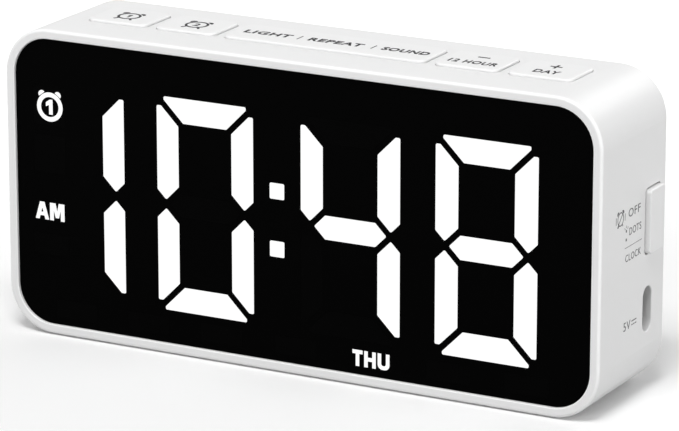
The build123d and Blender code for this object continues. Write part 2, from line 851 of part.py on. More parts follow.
# Rear cover: plate set into the back, with screw seats, sound holes and the battery cap's ring
cap_lip_y = rear_y - cap_t - cap_gap
groove_y = cap_lip_y - cap_lip
groove_r = cap_r + cap_gap
neck_hole_r = cap_neck_r + cap_gap
lug_rear_y = groove_y - cap_gap
lug_front_y = lug_rear_y - lug_t
ring_front_y = main_rear_y + holder_h + cap_ring_gap
with BuildPart() as rear_cover:
    with BuildSketch(upright(rear_y)):
        inner_outline(cover_fit)
    extrude(amount=cover_t)
    chamfer(rear_cover.faces().sort_by(Axis.Y)[-1].edges(), cover_edge)
    with BuildSketch(upright(cover_in_y)):
        with Locations((cell_x, cell_above)):
            Circle(groove_r + cap_ring_wall)
    extrude(amount=cover_in_y - ring_front_y)
    with BuildSketch(upright(rear_y)):
        with Locations(*cover_screws):
            Circle(head_r + hole_fit)
    extrude(amount=seat_depth, mode=Mode.SUBTRACT)
    with BuildSketch(upright(rear_y)):
        with Locations((cell_x, cell_above)):
            Circle(groove_r)
    extrude(amount=cap_t + cap_gap, mode=Mode.SUBTRACT)
    with BuildSketch(upright(rear_y)):
        with Locations(*cover_screws):
            Circle(shaft_r + hole_fit)
    extrude(amount=cover_t, mode=Mode.SUBTRACT)
    with BuildSketch(upright(groove_y)):
        with Locations((cell_x, cell_above)):
            Circle(groove_r)
    extrude(amount=groove_y - ring_front_y, mode=Mode.SUBTRACT)
    with BuildSketch(upright(cap_lip_y)):
        with Locations((cell_x, cell_above)):
            Circle(groove_r)
            Rectangle(2 * groove_r, lug_w + 2 * cap_gap, rotation=90 - cap_turn, mode=Mode.INTERSECT)
            Circle(neck_hole_r)
    extrude(amount=cap_lip, mode=Mode.SUBTRACT)
    with BuildSketch(upright(rear_y)):
        with Locations((buzzer_x, cell_above)):
            Circle(sound_hole_r)
            with PolarLocations(sound_ring_r, sound_ring_count):
                Circle(sound_hole_r)
    extrude(amount=cover_t, mode=Mode.SUBTRACT)
save(rear_cover.part, "rear_cover")

rear_cover_screws = make_screws(upright(rear_y - seat_depth), cover_screws, -1, cover_t + screw_bite)
save(rear_cover_screws, "rear_cover_screws")

# Battery cap: disc with a coin slot, a neck through the cover's lip and two lugs under that lip
with BuildPart() as battery_cap:
    with BuildSketch(upright(rear_y)):
        with Locations((cell_x, cell_above)):
            Circle(cap_r)
    extrude(amount=cap_t)
    with BuildSketch(upright(rear_y - cap_t)):
        with Locations((cell_x, cell_above)):
            Circle(cap_neck_r)
    extrude(amount=rear_y - cap_t - lug_front_y)
    with BuildSketch(upright(lug_rear_y)):
        with Locations((cell_x, cell_above)):
            Circle(cap_r)
            Rectangle(2 * cap_r, lug_w, rotation=90, mode=Mode.INTERSECT)
    extrude(amount=lug_t)
    with BuildSketch(upright(rear_y)):
        with Locations((cell_x, cell_above)):
            SlotOverall(coin_slot_len, coin_slot_w)
    extrude(amount=coin_slot_depth, mode=Mode.SUBTRACT)
save(battery_cap.part, "battery_cap")

# Rubber feet set into the underside
with BuildPart() as feet:
    with BuildSketch(level(0)):
        with GridLocations(body_w - 2 * foot_inset_x, body_d - 2 * foot_inset_y, 2, 2):
            Circle(foot_r)
    extrude(amount=foot_t)
save(feet.part, "feet")
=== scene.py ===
import json
from math import cos, pi, radians, sin

import bmesh
import bpy
from bpy.props import FloatProperty, FloatVectorProperty, PointerProperty, StringProperty
from bpy.types import Operator, Panel, PropertyGroup
from mathutils import Matrix, Vector


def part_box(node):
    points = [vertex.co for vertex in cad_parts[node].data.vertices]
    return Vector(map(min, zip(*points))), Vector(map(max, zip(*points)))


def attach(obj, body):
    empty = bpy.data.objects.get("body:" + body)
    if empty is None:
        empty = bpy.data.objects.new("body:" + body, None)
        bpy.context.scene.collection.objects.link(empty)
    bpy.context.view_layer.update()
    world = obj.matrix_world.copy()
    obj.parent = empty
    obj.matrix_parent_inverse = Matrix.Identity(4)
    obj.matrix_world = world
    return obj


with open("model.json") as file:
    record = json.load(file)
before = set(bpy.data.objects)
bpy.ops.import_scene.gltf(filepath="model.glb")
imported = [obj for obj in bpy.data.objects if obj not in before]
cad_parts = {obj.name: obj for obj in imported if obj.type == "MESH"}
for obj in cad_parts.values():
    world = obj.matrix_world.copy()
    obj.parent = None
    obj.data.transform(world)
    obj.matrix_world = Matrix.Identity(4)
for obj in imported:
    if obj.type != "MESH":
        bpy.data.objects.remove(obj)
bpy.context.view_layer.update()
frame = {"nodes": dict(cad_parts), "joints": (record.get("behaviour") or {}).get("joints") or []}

bl_info = {
    "name": "Digital alarm clock",
    "version": (1, 0, 0),
    "blender": (4, 5, 0),
    "location": "3D View > Sidebar > Clock",
    "description": "Dresses a white digital alarm clock: finishes, glowing legends, prints and a stage",
    "category": "Object",
}

MM = 0.001
NODES = frame["nodes"]

# Sockets of a Mix node by number, because those for colours and for numbers share their names
FACTOR = 0
COLOUR_A = 6
COLOUR_B = 7
COLOUR_OUT = 2
NUMBER_A = 2
NUMBER_B = 3
NUMBER_OUT = 0

# A metal keeps the shader's own index of refraction
METAL = {"ior": 1.5, "metallic": 1.0}

# Most values of a noise texture lie in this span
NOISE_SPAN = (0.3, 0.7)

RING_SIDES = 56
DISC_SIDES = 32


def linear(hex_colour):
    """Linear red, green and blue of an sRGB hex colour."""
    parts = [int(hex_colour[i:i + 2], 16) / 255 for i in (0, 2, 4)]
    return tuple(c / 12.92 if c <= 0.04045 else ((c + 0.055) / 1.055) ** 2.4 for c in parts)


class ClockFinish(PropertyGroup):
    """Colours of the clock's own surfaces, the colour of a painted highlight on the case's round edges,
    and the rounds where that highlight is painted.
    """

    case: FloatVectorProperty(
        name="Case", description="White moulding of the case", subtype="COLOR", default=linear("EDEDED"))
    painted_highlight: FloatVectorProperty(
        name="Painted edge highlight", description="Case colour of the painted highlight on its edges", subtype="COLOR",
        default=linear("FAFAFA"))
    corner_r: FloatProperty(
        name="Corner", description="Radius of the case's corners", unit="LENGTH", default=12 * MM)
    edge_r: FloatProperty(
        name="Edge", description="Radius of the case's outer edges", unit="LENGTH", default=0.8 * MM)
    inner_edge_r: FloatProperty(
        name="Inner edge", description="Radius of the bezel's inner edge", unit="LENGTH", default=0.3 * MM)
    wall: FloatProperty(
        name="Wall", description="Thickness of the case's wall", unit="LENGTH", default=2.4 * MM)
    key: FloatVectorProperty(
        name="Keys", description="White moulding of the keys", subtype="COLOR", default=linear("EFEFEF"))
    face: FloatVectorProperty(
        name="Face", description="Black panel round the digits", subtype="COLOR", default=linear("030303"))
    glow: FloatVectorProperty(
        name="Glow", description="Light of the digits and legends", subtype="COLOR",
        default=linear("FFFFFF"))
    key_ink: FloatVectorProperty(
        name="Key ink", description="Print on the keys", subtype="COLOR", default=linear("202022"))
    side_ink: FloatVectorProperty(
        name="Side ink", description="Print on the right side", subtype="COLOR", default=linear("6C6C6E"))


class ClockPrint(PropertyGroup):
    """Thickness of the printed and glowing signs, and the words on the long key."""

    ink_t: FloatProperty(
        name="Ink thickness", description="How far a print stands up", unit="LENGTH", default=0.03 * MM)
    sink: FloatProperty(
        name="Sink", description="How far a sign reaches into its ground", unit="LENGTH",
        default=0.01 * MM)
    left_word: StringProperty(
        name="Left word", description="Left word on the long key", default="LIGHT")
    middle_word: StringProperty(
        name="Middle word", description="Middle word on the long key", default="REPEAT")
    right_word: StringProperty(
        name="Right word", description="Right word on the long key", default="SOUND")


class ClockStage(PropertyGroup):
    """Lights, floor and camera."""

    floor: FloatVectorProperty(
        name="Floor", description="Pale floor", subtype="COLOR", default=linear("FDFDFD"))
    bounce: FloatVectorProperty(
        name="Bounce", description="Floor as the clock's surfaces see it", subtype="COLOR",
        default=linear("B4B4B4"))
    lift: FloatProperty(
        name="Lift", description="Painted light on the floor under the clock", default=0.04, min=0)
    far_lift: FloatProperty(
        name="Far lift", description="Painted light on the floor further off", default=0.3, min=0)
    fill: FloatProperty(
        name="Fill", description="Light from all round", default=0.25, min=0)
    key_power: FloatProperty(
        name="Key light", description="Lamp high in front", unit="POWER", default=29.0)
    side_power: FloatProperty(
        name="Side light", description="Low lamp at the right", unit="POWER", default=12.7)
    front_power: FloatProperty(
        name="Front light", description="Low lamp in front", unit="POWER", default=6.0)
    edge_power: FloatProperty(
        name="Edge light", description="Lamp at the upper left", unit="POWER", default=3.5)
    back_power: FloatProperty(
        name="Back light", description="High lamp behind the clock", unit="POWER", default=4.0)
    rear_power: FloatProperty(
        name="Rear light", description="Low lamp behind the clock", unit="POWER", default=9.0)
    lens: FloatProperty(
        name="Lens", description="Focal length on a 36 mm sensor", unit="CAMERA", default=225.94)


# Materials

def add_node(tree, kind, inputs=None, **settings):
    """Adds one node with its settings, and sets or links its inputs."""
    made = tree.nodes.new(kind)
    for name, value in settings.items():
        setattr(made, name, value)
    for socket, value in (inputs or {}).items():
        if isinstance(value, bpy.types.NodeSocket):
            tree.links.new(value, made.inputs[socket])
        else:
            made.inputs[socket].default_value = value
    return made


def per_metre(millimetres):
    """Texture scale whose pattern repeats about every so many millimetres."""
    return 1 / (millimetres * MM)


def start_material(name):
    """Empty material with its tree, its shader and the Object coordinates."""
    material = bpy.data.materials.new(name)
    material.use_nodes = True
    tree = material.node_tree
    tree.nodes.clear()
    shader = add_node(tree, "ShaderNodeBsdfPrincipled")
    add_node(tree, "ShaderNodeOutputMaterial", {"Surface": shader.outputs["BSDF"]})
    place = add_node(tree, "ShaderNodeTexCoord").outputs["Object"]
    return material, tree, shader, place


def working_parts(material):
    """Tree, shader and Object coordinates of a material that gets more nodes."""
    tree = material.node_tree
    return tree, tree.nodes["Principled BSDF"], tree.nodes["Texture Coordinate"].outputs["Object"]


def grained(name, colour, *, shade, roughness, grain_mm, relief_mm, cloud_mm=9.0, ior=1.54, metallic=0.0,
            specular=0.5):
    """Surface with a fine grain in its relief and slow clouds in its colour and gloss."""
    material, tree, shader, place = start_material(name)
    clouds = add_node(tree, "ShaderNodeTexNoise", {
        "Vector": place, "Scale": per_metre(cloud_mm), "Detail": 3.0, "Roughness": 0.55})
    grain = add_node(tree, "ShaderNodeTexNoise", {
        "Vector": place, "Scale": per_metre(grain_mm), "Detail": 2.0, "Roughness": 0.5})
    darker = (*[c * shade for c in colour], 1)
    tint = add_node(tree, "ShaderNodeMix", {
        FACTOR: clouds.outputs["Fac"], COLOUR_A: darker, COLOUR_B: (*colour, 1)}, data_type="RGBA")
    gloss = add_node(tree, "ShaderNodeMapRange", {
        "Value": grain.outputs["Fac"], "From Min": NOISE_SPAN[0], "From Max": NOISE_SPAN[1],
        "To Min": roughness[0], "To Max": roughness[1]})
    relief = add_node(tree, "ShaderNodeBump", {
        "Height": grain.outputs["Fac"], "Distance": relief_mm * MM, "Strength": 1.0})
    tree.links.new(tint.outputs[COLOUR_OUT], shader.inputs["Base Color"])
    tree.links.new(gloss.outputs["Result"], shader.inputs["Roughness"])
    tree.links.new(relief.outputs["Normal"], shader.inputs["Normal"])
    shader.inputs["IOR"].default_value = ior
    shader.inputs["Metallic"].default_value = metallic
    shader.inputs["Specular IOR Level"].default_value = specular
    return material


def paint_highlight(tree, shader, painted_highlight, colour, roughness):
    """Paints a highlight: the surface turns lighter in colour and smoother where the mask is one."""
    tint = shader.inputs["Base Color"].links[0].from_socket
    lighter = add_node(tree, "ShaderNodeMix", {
        FACTOR: painted_highlight, COLOUR_A: tint, COLOUR_B: (*colour, 1)}, data_type="RGBA")
    tree.links.new(lighter.outputs[COLOUR_OUT], shader.inputs["Base Color"])
    gloss = shader.inputs["Roughness"].links[0].from_socket
    smoother = add_node(tree, "ShaderNodeMix", {
        FACTOR: painted_highlight, NUMBER_A: gloss, NUMBER_B: roughness}, data_type="FLOAT")
    tree.links.new(smoother.outputs[NUMBER_OUT], shader.inputs["Roughness"])


def paint_edge_highlight(material, box, finish):
    """Paints a highlight on the round edges of a rounded box: its front and rear rim and the rim of its
    front opening.
    """
    # Painted highlight: full within this part of an edge's radius from the edge, gone beyond this part
    full_highlight_at = 0.62
    no_highlight_at = 0.95
    highlight_roughness = 0.24
    tree, shader, place = working_parts(material)
    middle = (box[0] + box[1]) / 2
    half = (box[1] - box[0]) / 2
    straight = (half.x - finish.corner_r, 0, half.z - finish.corner_r)

    # How deep a point lies under the four walls, round their corners
    moved = add_node(tree, "ShaderNodeVectorMath", {0: place, 1: middle}, operation="SUBTRACT")
    folded = add_node(tree, "ShaderNodeVectorMath", {0: moved.outputs[0]}, operation="ABSOLUTE")
    over = add_node(tree, "ShaderNodeVectorMath", {
        0: folded.outputs[0], 1: straight}, operation="SUBTRACT")
    flat = add_node(tree, "ShaderNodeVectorMath", {0: over.outputs[0], 1: (1, 0, 1)}, operation="MULTIPLY")
    held = add_node(tree, "ShaderNodeVectorMath", {0: flat.outputs[0]}, operation="MAXIMUM")
    reach = add_node(tree, "ShaderNodeVectorMath", {0: held.outputs[0]}, operation="LENGTH")
    depth = add_node(tree, "ShaderNodeMath", {
        0: finish.corner_r, 1: reach.outputs["Value"]}, operation="SUBTRACT")

    # How far it lies behind the front or before the rear, and from each rim
    folded_y = add_node(tree, "ShaderNodeSeparateXYZ", {0: folded.outputs[0]})
    behind = add_node(tree, "ShaderNodeMath", {0: half.y, 1: folded_y.outputs["Y"]}, operation="SUBTRACT")
    outer = add_node(tree, "ShaderNodeMath", {0: depth.outputs[0], 1: behind.outputs[0]}, operation="ADD")
    left = add_node(tree, "ShaderNodeMath", {0: finish.wall, 1: depth.outputs[0]}, operation="SUBTRACT")
    inner = add_node(tree, "ShaderNodeMath", {0: left.outputs[0], 1: behind.outputs[0]}, operation="ADD")
    rims = []
    for away, round_r in ((outer, finish.edge_r), (inner, finish.inner_edge_r)):
        rims.append(add_node(tree, "ShaderNodeMapRange", {
            "Value": away.outputs[0], "From Min": full_highlight_at * round_r, "From Max": no_highlight_at * round_r,
            "To Min": 1.0, "To Max": 0.0}, interpolation_type="SMOOTHSTEP").outputs["Result"])
    # Mask of the painted highlight on both rims
    painted_highlight = add_node(tree, "ShaderNodeMath", {0: rims[0], 1: rims[1]}, operation="MAXIMUM").outputs[0]
    paint_highlight(tree, shader, painted_highlight, finish.painted_highlight, highlight_roughness)


def glowing_guide(name, colour):
    """Diffusing acrylic lit from behind: even white light, a little fuller over each lamp."""
    lamp_space_mm = 10.0
    between_lamps = 0.985
    material, tree, shader, place = start_material(name)
    spots = add_node(tree, "ShaderNodeTexNoise", {
        "Vector": place, "Scale": per_metre(lamp_space_mm), "Detail": 1.0, "Roughness": 0.4})
    dimmer = (*[c * between_lamps for c in colour], 1)
    light = add_node(tree, "ShaderNodeMix", {
        FACTOR: spots.outputs["Fac"], COLOUR_A: dimmer, COLOUR_B: (*colour, 1)}, data_type="RGBA")
    tree.links.new(light.outputs[COLOUR_OUT], shader.inputs["Emission Color"])
    shader.inputs["Emission Strength"].default_value = 1.0
    shader.inputs["Base Color"].default_value = (*linear("3A3A3A"), 1)
    shader.inputs["Roughness"].default_value = 0.45
    shader.inputs["IOR"].default_value = 1.49
    shader.inputs["Specular IOR Level"].default_value = 0.1
    return material


def printed_ink(name, colour):
    """Pad-print ink: matt, with tiny differences of density."""
    return grained(name, colour, shade=0.85, roughness=(0.55, 0.7), grain_mm=0.2, relief_mm=0.002,
                   cloud_mm=1.5, ior=1.5, specular=0.3)


def laminate():
    """Glass-fibre laminate under green lacquer: the weave shows faintly through the gloss."""
    thread_mm = 0.5
    relief_mm = 0.005
    # A wave texture turns through 20 radians in each unit
    scale = per_metre(thread_mm) * 2 * pi / 20
    material, tree, shader, place = start_material("Glass laminate, green lacquer")
    threads = []
    for direction in ("X", "Z"):
        threads.append(add_node(tree, "ShaderNodeTexWave", {
            "Vector": place, "Scale": scale, "Distortion": 0.4},
            wave_type="BANDS", bands_direction=direction).outputs["Fac"])
    weave = add_node(tree, "ShaderNodeMath", {
        0: threads[0], 1: threads[1]}, operation="MAXIMUM").outputs[0]
    tint = add_node(tree, "ShaderNodeMix", {
        FACTOR: weave, COLOUR_A: (*linear("1B5A34"), 1), COLOUR_B: (*linear("236B40"), 1)},
        data_type="RGBA")
    gloss = add_node(tree, "ShaderNodeMapRange", {"Value": weave, "To Min": 0.34, "To Max": 0.26})
    relief = add_node(tree, "ShaderNodeBump", {
        "Height": weave, "Distance": relief_mm * MM, "Strength": 1.0})
    tree.links.new(tint.outputs[COLOUR_OUT], shader.inputs["Base Color"])
    tree.links.new(gloss.outputs["Result"], shader.inputs["Roughness"])
    tree.links.new(relief.outputs["Normal"], shader.inputs["Normal"])
    shader.inputs["IOR"].default_value = 1.55
    return material


def dress(material, *nodes):
    """Gives CAD nodes this material."""
    for name in nodes:
        mesh = NODES[name].data
        mesh.materials.clear()
        mesh.materials.append(material)


# Flat signs, drawn in millimetres about their own origin and stood up into thin solids

def merge(sign, part, place):
    """Moves part to its place and joins it to the sign."""
    bmesh.ops.transform(part, matrix=place, verts=part.verts)
    mesh = bpy.data.meshes.new("part")
    part.to_mesh(mesh)
    part.free()
    sign.from_mesh(mesh)
    bpy.data.meshes.remove(mesh)


def add_ring(sign, middle, outer_r, stroke):
    """Flat ring."""
    made = bmesh.ops.create_circle(sign, cap_ends=False, segments=RING_SIDES, radius=outer_r)
    edges = list({edge for vert in made["verts"] for edge in vert.link_edges})
    inner = bmesh.ops.extrude_edge_only(sign, edges=edges)
    inner_verts = [part for part in inner["geom"] if isinstance(part, bmesh.types.BMVert)]
    shrink = (outer_r - stroke) / outer_r
    bmesh.ops.scale(sign, vec=(shrink, shrink, 1), verts=inner_verts)
    bmesh.ops.translate(sign, vec=(*middle, 0), verts=made["verts"] + inner_verts)


def add_dome(sign, middle, radius, turn):
    """Flat half disc on a base through middle, its crown turned from straight up."""
    part = bmesh.new()
    bmesh.ops.create_circle(part, cap_ends=True, segments=DISC_SIDES, radius=radius)
    bmesh.ops.bisect_plane(
        part, geom=part.verts[:] + part.edges[:] + part.faces[:], plane_co=(0, 0, 0), plane_no=(0, 1, 0),
        clear_inner=True)
    merge(sign, part, Matrix.Translation((*middle, 0)) @ Matrix.Rotation(turn, 4, "Z"))


def add_bar(sign, middle, width, height, turn=0.0):
    """Flat bar."""
    place = Matrix.Translation((*middle, 0)) @ Matrix.Rotation(turn, 4, "Z")
    size = Matrix.Diagonal((width, height, 1, 1))
    bmesh.ops.create_grid(sign, x_segments=1, y_segments=1, size=0.5, matrix=place @ size)


def add_outline(sign, points):
    """Flat face with these corners."""
    sign.faces.new([sign.verts.new((x, y, 0)) for x, y in points])


def add_words(sign, words, middle, width, height, weight=0.0):
    """Flat lettering in the built-in font that fills a box; weight thickens its strokes."""
    letter_space = 1.12
    curve_steps = 6
    same_point = 1e-5
    curve = bpy.data.curves.new("words", "FONT")
    curve.body = words
    curve.offset = weight
    curve.space_character = letter_space
    curve.resolution_u = curve_steps
    piece = bpy.data.objects.new("words", curve)
    bpy.context.scene.collection.objects.link(piece)
    mesh = bpy.data.meshes.new_from_object(piece.evaluated_get(bpy.context.evaluated_depsgraph_get()))
    part = bmesh.new()
    part.from_mesh(mesh)
    bpy.data.objects.remove(piece)
    bpy.data.curves.remove(curve)
    bpy.data.meshes.remove(mesh)
    bmesh.ops.remove_doubles(part, verts=part.verts, dist=same_point)
    low = Vector([min(v.co[i] for v in part.verts) for i in range(2)])
    high = Vector([max(v.co[i] for v in part.verts) for i in range(2)])
    span = high - low
    fit = Matrix.Diagonal((width / span.x, height / span.y, 1, 1))
    centre = Matrix.Translation((-(low.x + high.x) / 2, -(low.y + high.y) / 2, 0))
    merge(sign, part, Matrix.Translation((*middle, 0)) @ fit @ centre)


def arc(x, y, radius, start, end, steps=8):
    """Points on an arc between two angles in degrees."""
    turns = [radians(start + (end - start) * step / steps) for step in range(steps + 1)]
    return [(x + cos(turn) * radius, y + sin(turn) * radius) for turn in turns]


def capital_a(w, h, s):
    """Bold A of this width, height and stroke, in two halves that meet on its middle line."""
    top = 1.2 * s
    lean = (w - top) / 2 / h
    bar_low = 0.85 * s
    bar_high = 1.7 * s
    peak = (w / 2 - s) / lean
    left = [
        (0, 0), (s, 0), (s + lean * bar_low, bar_low), (w / 2, bar_low), (w / 2, bar_high),
        (s + lean * bar_high, bar_high), (w / 2, peak), (w / 2, h), ((w - top) / 2, h)]
    return [left, [(w - x, y) for x, y in left]]


def capital_m(w, h, s):
    """Bold M."""
    shoulder = 1.5 * s
    foot = 0.42 * s
    notch = (w / 2, 0.53 * h)
    left = [(w / 2 - foot, 0.16 * h), (s, 0.6 * h), (s, 0), (0, 0), (0, h), (shoulder, h)]
    return [left + [notch] + [(w - x, y) for x, y in reversed(left)]]


def capital_t(w, h, s):
    """Bold T."""
    left = [(0, h), (0, h - s), (w / 2 - s / 2, h - s), (w / 2 - s / 2, 0)]
    return [left + [(w - x, y) for x, y in reversed(left)]]


def capital_h(w, h, s):
    """Bold H."""
    low = (h - s) / 2
    left = [(s, low), (s, 0), (0, 0), (0, h), (s, h), (s, h - low)]
    return [left + [(w - x, y) for x, y in reversed(left)]]


def capital_u(w, h, s):
    """Bold U with a round bowl."""
    outer = 0.42 * w
    inner = outer - s * 0.75
    bowl = arc(outer, outer, outer, 180, 270) + arc(w - outer, outer, outer, 270, 360)
    hollow = arc(w - s - inner, s + inner, inner, 0, -90) + arc(s + inner, s + inner, inner, -90, -180)
    return [[(0, h)] + bowl + [(w, h), (w - s, h)] + hollow + [(s, h)]]


def add_capitals(sign, letters, height, stroke):
    """Row of bold capitals about the origin; each comes with its drawing, width and the space after it."""
    x = -sum(width + space for draw, width, space in letters) / 2
    for draw, width, space in letters:
        for outline in draw(width, height, stroke):
            add_outline(sign, [(x + u, v - height / 2) for u, v in outline])
        x += width + space


def add_one(sign, middle, width, height, stroke):
    """Figure one with a flag, drawn by its corners."""
    left = middle[0] - width / 2
    right = middle[0] + width / 2
    low = middle[1] - height / 2
    high = middle[1] + height / 2
    stem = right - stroke
    add_outline(sign, [
        (stem, low), (right, low), (right, high), (stem + stroke * 0.25, high),
        (left, high - stroke * 0.75), (left, high - stroke * 1.75), (stem, high - stroke * 1.35)])


def add_alarm_sign(sign, middle, outer_r, stroke, bell_r, bell_turn, gap, feet=True):
    """Alarm clock pictogram: dial ring, two bells and, where asked, two feet."""
    foot_lean = radians(34)
    add_ring(sign, middle, outer_r, stroke)
    bell_at = outer_r + gap
    for side in (-1, 1):
        turn = side * bell_turn
        bell = (middle[0] - sin(turn) * bell_at, middle[1] + cos(turn) * bell_at)
        add_dome(sign, bell, bell_r, turn)
        if feet:
            lean = side * foot_lean
            foot_at = outer_r + stroke
            foot = (middle[0] + sin(lean) * foot_at, middle[1] - cos(lean) * foot_at)
            add_bar(sign, foot, stroke, 2 * stroke, lean)


def on_top(x, y, z):
    """Place of a sign that lies on a top face and reads from the front."""
    return Matrix.Translation((x * MM, y * MM, z))


def on_front(x, y, z):
    """Place of a sign on a face that looks to the front."""
    return Matrix.Translation((x * MM, y, z * MM)) @ Matrix.Rotation(pi / 2, 4, "X")


def on_right(x, y, z):
    """Place of a sign on a face that looks to the right."""
    turned = Matrix.Rotation(pi / 2, 4, "Z") @ Matrix.Rotation(pi / 2, 4, "X")
    return Matrix.Translation((x, y * MM, z * MM)) @ turned


def on_rear(x, y, z):
    """Place of a sign on a face that looks to the rear."""
    turned = Matrix.Rotation(pi, 4, "Z") @ Matrix.Rotation(pi / 2, 4, "X")
    return Matrix.Translation((x * MM, y, z * MM)) @ turned


def add_piece(shape, name, material, body):
    """Makes a bmesh a piece that rides on a body."""
    mesh = bpy.data.meshes.new(name)
    shape.to_mesh(mesh)
    shape.free()
    mesh.materials.append(material)
    piece = bpy.data.objects.new(name, mesh)
    bpy.context.scene.collection.objects.link(piece)
    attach(piece, body)


def stand_up(sign, name, place, material, body):
    """Makes a flat sign a thin solid on its ground and adds it as a piece."""
    sizes = bpy.context.scene.clock_print
    same_point_mm = 1e-4
    bmesh.ops.remove_doubles(sign, verts=sign.verts, dist=same_point_mm)
    bmesh.ops.scale(sign, vec=(MM, MM, MM), verts=sign.verts)
    bmesh.ops.recalc_face_normals(sign, faces=sign.faces)
    risen = bmesh.ops.extrude_face_region(sign, geom=sign.faces[:], use_keep_orig=True)
    tops = [part for part in risen["geom"] if isinstance(part, bmesh.types.BMVert)]
    bmesh.ops.translate(sign, vec=(0, 0, sizes.ink_t + sizes.sink), verts=tops)
    bmesh.ops.translate(sign, vec=(0, 0, -sizes.sink), verts=sign.verts)
    bmesh.ops.recalc_face_normals(sign, faces=sign.faces)
    bmesh.ops.transform(sign, matrix=place, verts=sign.verts)
    add_piece(sign, name, material, body)


class CLOCK_OT_case(Operator):
    """Finishes the case, its rear cover, cap, screws and feet"""

    bl_idname = "clock.dress_case"
    bl_label = "Dress the case"

    def execute(self, context):
        finish = context.scene.clock_finish
        # White ABS from a spark-eroded mould: satin, with a fine even grain. The real grain is about
        # 0.1 mm; it is drawn at 0.45 mm so that it shows.
        satin = {"shade": 0.985, "roughness": (0.32, 0.4), "grain_mm": 0.45, "relief_mm": 0.004}
        abs_cover = grained("White ABS, moulded satin", finish.case, **satin)
        dress(abs_cover, "rear_cover", "battery_cap")
        # The same on the case, whose round edges get a painted highlight: a lighter colour, and a smoother
        # gloss
        abs_case = grained("White ABS, moulded satin, painted edge highlight", finish.case, **satin)
        paint_edge_highlight(abs_case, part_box("housing"), finish)
        dress(abs_case, "housing")
        # Nickel-plated steel screws, tumbled: bright, with soft scratches
        screw_steel = grained(
            "Steel, nickel plated", linear("C9C7C2"), shade=0.9, roughness=(0.22, 0.34), grain_mm=0.3,
            relief_mm=0.003, cloud_mm=2.0, **METAL)
        dress(screw_steel, "rear_cover_screws", "main_board_screws", "display_board_screws",
              "key_board_screws")
        # Soft moulded rubber: dull and dark, with a coarse pebble
        foot_rubber = grained(
            "Rubber, moulded", linear("2B2B2C"), shade=0.8, roughness=(0.7, 0.85), grain_mm=0.5,
            relief_mm=0.03, cloud_mm=3.0, ior=1.52, specular=0.3)
        dress(foot_rubber, "feet")
        return {"FINISHED"}


class CLOCK_OT_keys(Operator):
    """Finishes the keys and the plungers under them"""

    bl_idname = "clock.dress_keys"
    bl_label = "Dress the keys"

    def execute(self, context):
        finish = context.scene.clock_finish
        # White ABS from a finer mould: a shade brighter and smoother than the case
        abs_key = grained(
            "White ABS, moulded smooth", finish.key, shade=0.985, roughness=(0.32, 0.38), grain_mm=0.4,
            relief_mm=0.002)
        dress(abs_key, "alarm_1_key", "alarm_2_key", "snooze_bar", "minus_key", "plus_key", "side_key")
        # Black nylon stems of the push switches: dull, slightly ribbed by the mould
        nylon_stem = grained(
            "Black nylon, moulded", linear("1C1C1D"), shade=0.85, roughness=(0.5, 0.62), grain_mm=0.3,
            relief_mm=0.006, cloud_mm=2.0, ior=1.53)
        dress(nylon_stem, "alarm_1_plunger", "alarm_2_plunger", "snooze_plungers", "minus_plunger",
              "plus_plunger", "side_plunger", "key_switch_bodies", "side_switch_body")
        return {"FINISHED"}


class CLOCK_OT_display(Operator):
    """Finishes the black face and the light guides in it"""

    bl_idname = "clock.dress_display"
    bl_label = "Dress the display"

    def execute(self, context):
        finish = context.scene.clock_finish
        coated = {"shade": 0.7, "grain_mm": 0.6, "relief_mm": 0.0006, "cloud_mm": 14.0, "ior": 1.49,
                  "specular": 0.01}
        # Black acrylic with an antireflection coat: deep black, almost no mirror image
        acrylic_face = grained(
            "Black acrylic, antireflection coated", finish.face, roughness=(0.34, 0.4), **coated)
        dress(acrylic_face, "display_face")
        # Smoke-tinted acrylic guides that are off: as black as the face
        smoke_guide = grained("Smoke acrylic, moulded", linear("040404"), roughness=(0.36, 0.42), **coated)
        dress(smoke_guide, "dark_segments", "legend_inserts")
        dress(glowing_guide("Opal acrylic, lit from behind", finish.glow), "lit_segments")
        return {"FINISHED"}


class CLOCK_OT_inside(Operator):
    """Finishes the boards, lamps and parts behind the display"""

    bl_idname = "clock.dress_inside"
    bl_label = "Dress the inside"

    def execute(self, context):
        # White polycarbonate light boxes: matt and bright
        white_box = grained(
            "White polycarbonate, moulded matt", linear("ECECE8"), shade=0.97, roughness=(0.55, 0.65),
            grain_mm=0.4, relief_mm=0.004)
        dress(white_box, "reflector_frame")
        dress(laminate(), "display_board", "key_board", "main_board")
        # Phosphor resin of the lamps: yellow, smooth and a little waxy
        lamp_resin = grained(
            "Phosphor resin, cast", linear("E9DC92"), shade=0.92, roughness=(0.3, 0.4), grain_mm=0.3,
            relief_mm=0.002, cloud_mm=1.5, ior=1.53)
        dress(lamp_resin, "display_leds")
        # Drawn and stamped tinplate: cool, with soft scratches
        tin_can = grained(
            "Steel, tin plated", linear("BFC1C4"), shade=0.9, roughness=(0.26, 0.4), grain_mm=0.25,
            relief_mm=0.002, cloud_mm=1.5, **METAL)
        dress(tin_can, "coin_cell", "cell_contacts", "clock_crystal")
        # Black epoxy and glass-filled plastic of the parts on the boards: dull and dark
        black_part = grained(
            "Black epoxy, moulded matt", linear("161617"), shade=0.85, roughness=(0.5, 0.64),
            grain_mm=0.25, relief_mm=0.005, cloud_mm=2.5)
        dress(black_part, "controller_chip", "buzzer", "cell_holder", "display_header_block",
              "key_header_block")
        # Gold-flashed brass pins: warm and bright
        gold_pin = grained(
            "Brass, gold flashed", linear("D9B25A"), shade=0.92, roughness=(0.2, 0.3), grain_mm=0.2,
            relief_mm=0.001, cloud_mm=1.0, **METAL)
        dress(gold_pin, "display_header_pins", "key_header_pins")
        return {"FINISHED"}


